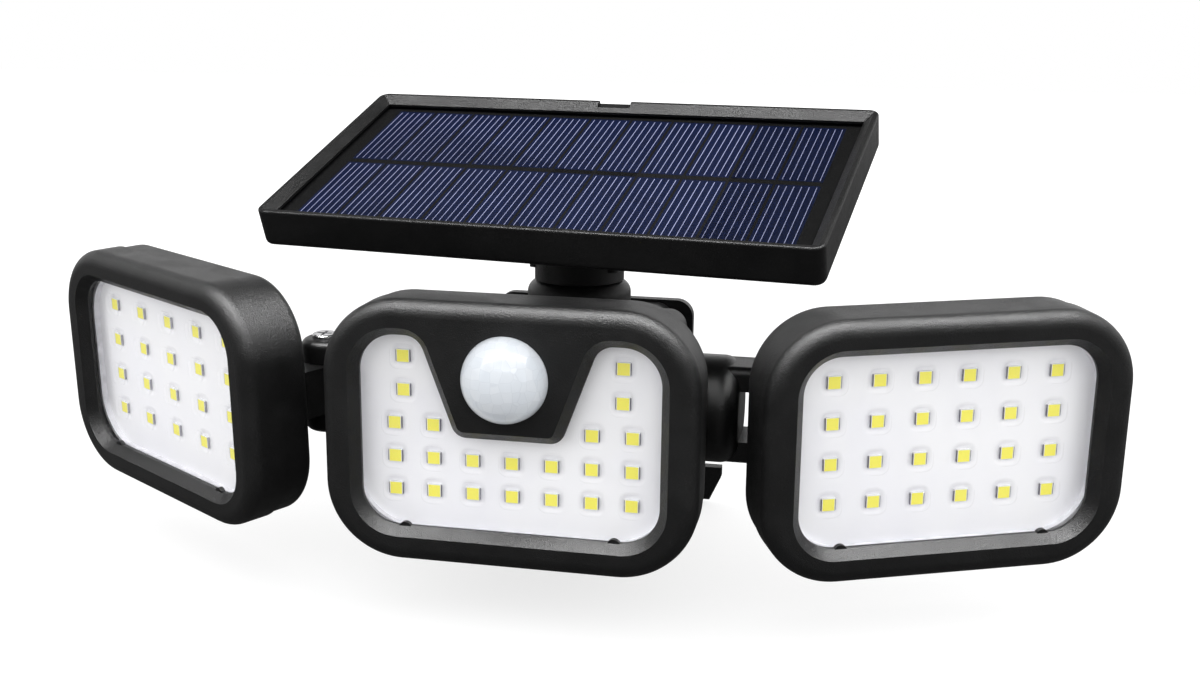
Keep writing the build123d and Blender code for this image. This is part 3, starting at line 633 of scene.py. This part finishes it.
class LIGHT_OT_panel(bpy.types.Operator):
    """Solar cells with their printed lines, back sheet and clear plate"""

    bl_idname = "security_light.panel"
    bl_label = "Solar panel"

    def execute(self, context):
        pitch = (CELLS_WIDE + CELL_GAP) / CELL_COLUMNS
        material, net, surface = new_material("Solar cell")
        point = net.place(PANEL)
        split = net.add("SeparateXYZ", {0: point})
        across = net.math("DIVIDE", split.outputs[0], pitch)
        across = net.math("FRACT", net.math("ADD", across, 0.5))
        count = sizes().fingers
        inner = net.math("MULTIPLY", net.math("SUBTRACT", across, 0.5), pitch)
        step = pitch / (count + 0.35)
        within = net.math("FRACT", net.math("ADD", net.math("DIVIDE", inner, step), count / 2))
        near = net.math("ABSOLUTE", net.math("SUBTRACT", within, 0.5))
        width = sizes().finger_width
        line = net.ramp(net.math("MULTIPLY", near, step), width * 0.35, width * 0.65, 1.0, 0.0)
        bound = net.math("LESS_THAN", net.math("ABSOLUTE", inner), step * count / 2)
        line = net.math("MULTIPLY", line, bound)
        depth = net.math("ABSOLUTE", split.outputs[1])
        middle = (CELLS_DEEP + ROW_GAP) / 4
        away = net.math("ABSOLUTE", net.math("SUBTRACT", depth, middle))
        line = net.math("MULTIPLY", line, net.math("LESS_THAN", away, middle - ROW_GAP / 2 - 0.8))
        crystal = net.add("TexVoronoi", {"Vector": point, "Scale": 0.35})
        fine = net.add("TexNoise", {"Vector": point, "Scale": 2.2, "Detail": 3.0})
        base = colours().cell
        blue = net.mix(fine.outputs[0], toned(base, 0.4, 0.45, 0.5), toned(base, 1.4, 1.5, 1.4))
        patches = net.math("MULTIPLY", crystal.outputs["Color"], 0.2)
        blue = net.mix(patches, blue, toned(base, 1.6, 1.8, 1.6))
        net.put(surface.inputs["Base Color"], net.mix(line, blue, tuple(colours().finger)))
        net.put(surface.inputs["Roughness"], net.ramp(fine.outputs[0], 0.3, 0.7, 0.35, 0.5))
        surface.inputs["Specular IOR Level"].default_value = 0.1
        dress("solar_cells", material)

        sheet, net, surface = new_material("Black back sheet")
        point = net.place(PANEL)
        weave = net.add("TexNoise", {"Vector": point, "Scale": 3.0, "Detail": 4.0})
        tone = net.mix(weave.outputs[0], (0.0008, 0.0008, 0.001, 1.0), (0.0016, 0.0016, 0.002, 1.0))
        net.put(surface.inputs["Base Color"], tone)
        net.put(surface.inputs["Roughness"], net.ramp(weave.outputs[0], 0.3, 0.7, 0.5, 0.7))
        surface.inputs["Specular IOR Level"].default_value = 0.1
        dress("panel_back_sheet", sheet)

        plate, net, surface = new_material("Panel plate")
        point = net.place(PANEL)
        marks = net.group(effect(handling_marks), {"Vector": point, "Smear size": 40.0})
        tone = net.mix(marks.outputs["Smear"], (0.02, 0.03, 0.05, 1.0), (0.03, 0.04, 0.07, 1.0))
        net.put(surface.inputs["Base Color"], tone)
        net.put(surface.inputs["Roughness"], net.ramp(marks.outputs["Smear"], 0, 1, 0.06, 0.1))
        net.put(surface.inputs["Alpha"], net.ramp(marks.outputs["Smear"], 0, 1, 0.004, 0.008))
        dress("panel_glass", plate)
        return {"FINISHED"}


class LIGHT_OT_fasteners(bpy.types.Operator):
    """Screws, nuts and washers"""

    bl_idname = "security_light.fasteners"
    bl_label = "Fasteners"

    def execute(self, context):
        bright = metal("Bright screw", (0.72, 0.72, 0.73), 0.16, 0.3)
        dark = metal("Blackened screw", (0.11, 0.11, 0.115), 0.35, 0.5)
        washer = metal("Washer steel", (0.5, 0.5, 0.5), 0.28, 0.42)
        for where in ("left", "right", "panel"):
            dress(where + "_hinge_screw", bright)
            dress(where + "_hinge_nut", bright)
            dress(where + "_swivel_washer", washer)
            dress(where + "_swivel_screw", dark)
        for node in (
            "bracket_screws", "lid_screws", "board_screws", "middle_bezel_screws",
            "left_cover_screws", "right_cover_screws", "panel_screws",
        ):
            dress(node, dark)
        return {"FINISHED"}


class LIGHT_OT_inside(bpy.types.Operator):
    """Cells, holder, contacts, control board, switch and key inside the case"""

    bl_idname = "security_light.inside"
    bl_label = "Inside the case"

    def execute(self, context):
        green, net, surface = new_material("Solder mask")
        point = net.place()
        split = net.add("SeparateXYZ", {0: point})
        wave = {"Vector": point, "Scale": 0.35, "Distortion": 3.0, "Detail": 1.0}
        tracks = net.add("TexWave", wave, bands_direction="Z")
        base = colours().green
        shade = net.mix(net.ramp(tracks.outputs["Fac"], 0.45, 0.55), base, toned(base, 2.2, 1.5, 1.8))
        net.put(surface.inputs["Base Color"], shade)
        net.put(surface.inputs["Roughness"], net.ramp(split.outputs[2], -30, 30, 0.32, 0.38))
        net.put(surface.inputs["Normal"], bump(net, tracks.outputs["Fac"], 0.3, 0.00005))
        dress("control_board", green)

        wrap, net, surface = new_material("Cell sleeve")
        point = net.place()
        split = net.add("SeparateXYZ", {0: point})
        end = net.math("ABSOLUTE", split.outputs[0])
        creases = net.add("TexNoise", {"Vector": point, "Scale": 0.6, "Detail": 4.0, "Distortion": 1.2})
        tip = net.math("GREATER_THAN", end, BATTERY_END)
        sleeve = colours().wrap
        tone = net.mix(creases.outputs[0], toned(sleeve, 0.8), toned(sleeve, 1.3))
        net.put(surface.inputs["Base Color"], net.mix(tip, tone, (0.6, 0.6, 0.6, 1.0)))
        net.put(surface.inputs["Metallic"], tip)
        net.put(surface.inputs["Roughness"], net.ramp(creases.outputs[0], 0.3, 0.7, 0.25, 0.38))
        net.put(surface.inputs["Normal"], bump(net, creases.outputs[0], 0.2, 0.0002))
        dress("battery_cells", wrap)

        dress("cell_holder", light_plastic("Holder plastic", (0.5, 0.5, 0.48), 0.5))
        dress("cell_contacts", metal("Contact plate", (0.66, 0.64, 0.6), 0.2, 0.34))
        moulded = black_plastic("Chip black", (0.012, 0.012, 0.013), 0.3, 0.3)
        dress("board_chips", moulded)
        dress("push_switch", moulded)
        dress("mode_key", rubber("Key rubber", (0.03, 0.03, 0.032)))
        return {"FINISHED"}


class LIGHT_OT_stage(bpy.types.Operator):
    """Pale floor, plain soft lights and the camera"""

    bl_idname = "security_light.stage"
    bl_label = "Stage"

    def lamp(self, name, spot, aim, size, power, gloss_only=False):
        light = bpy.data.lights.new(name, "AREA")
        light.shape = "RECTANGLE"
        light.size, light.size_y = size
        light.energy = power
        made = bpy.data.objects.new(name, light)
        made.location = spot
        made.rotation_mode = "QUATERNION"
        made.rotation_quaternion = (Vector(aim) - Vector(spot)).to_track_quat("-Z", "Y")
        made.visible_diffuse = not gloss_only
        bpy.context.scene.collection.objects.link(made)

    def execute(self, context):
        stage = context.scene.light_stage
        bm = bmesh.new()
        bmesh.ops.create_grid(bm, x_segments=1, y_segments=1, size=3.0)
        bmesh.ops.translate(bm, vec=(0, 0, cad_low.z - 0.002), verts=bm.verts)
        mesh = bpy.data.meshes.new("floor")
        bm.to_mesh(mesh)
        bm.free()
        floor = bpy.data.objects.new("floor", mesh)
        context.scene.collection.objects.link(floor)
        material, net, surface = new_material("Floor paper")
        grain = net.add("TexNoise", {"Vector": net.place(), "Scale": 0.4, "Detail": 3.0})
        path = net.add("LightPath")
        paper = net.mix(net.math("MULTIPLY", grain.outputs[0], 0.04), tuple(stage.floor), WHITE)
        paper = net.mix(path.outputs["Is Glossy Ray"], paper, (0.1, 0.1, 0.1, 1.0))
        net.put(surface.inputs["Base Color"], paper)
        surface.inputs["Roughness"].default_value = 1.0
        surface.inputs["Specular IOR Level"].default_value = 0.0
        seen = net.math("MAXIMUM", path.outputs["Is Camera Ray"], path.outputs["Is Transmission Ray"])
        far = net.add("VectorMath", {0: net.place()}, operation="LENGTH").outputs["Value"]
        lift = net.ramp(far, 250.0, 900.0, 0.72, 1.0)
        glow = net.add("Emission", {"Color": WHITE, "Strength": net.math("MULTIPLY", seen, lift)})
        both = net.add("AddShader", {0: surface.outputs[0], 1: glow.outputs[0]})
        net.put(material.node_tree.nodes["Material Output"].inputs["Surface"], both.outputs[0])
        mesh.materials.append(material)

        world = bpy.data.worlds.new("studio")
        context.scene.world = world
        world.use_nodes = True
        net = Net(world.node_tree)
        path = net.add("LightPath")
        direction = net.add("SeparateXYZ", {0: net.add("TexCoord").outputs["Generated"]})
        behind = net.ramp(direction.outputs[1], -0.25, 0.35, 0.1, 1.0)
        behind = net.math("MULTIPLY", behind, net.ramp(direction.outputs[2], 0.3, 0.55, 1.0, 0.08))
        mirror = net.math("MULTIPLY", path.outputs["Is Glossy Ray"], behind)
        seen = net.math("MAXIMUM", path.outputs["Is Camera Ray"], path.outputs["Is Transmission Ray"])
        seen = net.math("MAXIMUM", seen, mirror)
        strength = net.math("ADD", net.math("MULTIPLY", seen, 1.0 - stage.sky), stage.sky)
        dull = net.math("SUBTRACT", 1.0, path.outputs["Is Glossy Ray"])
        strength = net.math("MULTIPLY", strength, net.math("MAXIMUM", dull, behind))
        backing = world.node_tree.nodes["Background"]
        net.put(backing.inputs["Color"], WHITE)
        net.put(backing.inputs["Strength"], strength)

        centre = (0.0, -0.09, 0.02)
        self.lamp("top light", (0.05, -0.27, 0.8), centre, (1.6, 0.12), stage.key, True)
        self.lamp("front light", (0.2, -0.85, 0.62), centre, (1.0, 0.07), stage.front, True)
        self.lamp("left light", (-0.75, -0.55, 0.35), centre, (0.3, 0.6), stage.side)
        self.lamp("right light", (0.8, -0.45, 0.4), centre, (0.3, 0.6), stage.side)

        camera = bpy.data.cameras.new("camera")
        camera.lens, camera.sensor_width = 41.875, 36.0
        camera.clip_start, camera.clip_end = 0.01, 20.0
        made = bpy.data.objects.new("camera", camera)
        right, up, back = (0.9795, 0.2011, 0.0112), (-0.0571, 0.2242, 0.9729), (0.1931, -0.9536, 0.2311)
        spot = (0.10048, -0.48869, 0.11833)
        turned = Matrix((right, up, back)).transposed().to_quaternion()
        made.matrix_world = Matrix.LocRotScale(spot, turned, None)
        context.scene.collection.objects.link(made)
        context.scene.camera = made
        context.scene.view_settings.view_transform = "Standard"
        return {"FINISHED"}


STEPS = (
    LIGHT_OT_shells, LIGHT_OT_boards, LIGHT_OT_diodes, LIGHT_OT_covers, LIGHT_OT_sensor,
    LIGHT_OT_panel, LIGHT_OT_fasteners, LIGHT_OT_inside, LIGHT_OT_stage,
)


class LIGHT_PT_pieces(bpy.types.Panel):
    """Lists the steps that finish the light"""

    bl_idname = "LIGHT_PT_pieces"
    bl_label = "Security Light"
    bl_space_type = "VIEW_3D"
    bl_region_type = "UI"
    bl_category = "Security Light"

    def draw(self, context):
        column = self.layout.column()
        for step in STEPS:
            column.operator(step.bl_idname)
        for group in (context.scene.light_colours, context.scene.light_sizes, context.scene.light_stage):
            box = self.layout.box()
            for name in group.__annotations__:
                box.prop(group, name)


GROUPS = {"light_colours": LightColours, "light_sizes": LightSizes, "light_stage": StageSettings}


def register():
    for group in GROUPS.values():
        bpy.utils.register_class(group)
    for name, group in GROUPS.items():
        setattr(bpy.types.Scene, name, PointerProperty(type=group))
    for made in (*STEPS, LIGHT_PT_pieces):
        bpy.utils.register_class(made)


def unregister():
    for made in (LIGHT_PT_pieces, *reversed(STEPS)):
        bpy.utils.unregister_class(made)
    for name, group in GROUPS.items():
        delattr(bpy.types.Scene, name)
        bpy.utils.unregister_class(group)


def main():
    register()
    for step in STEPS:
        getattr(bpy.ops.security_light, step.bl_idname.split(".")[1])()


if __name__ == "__main__":
    main()
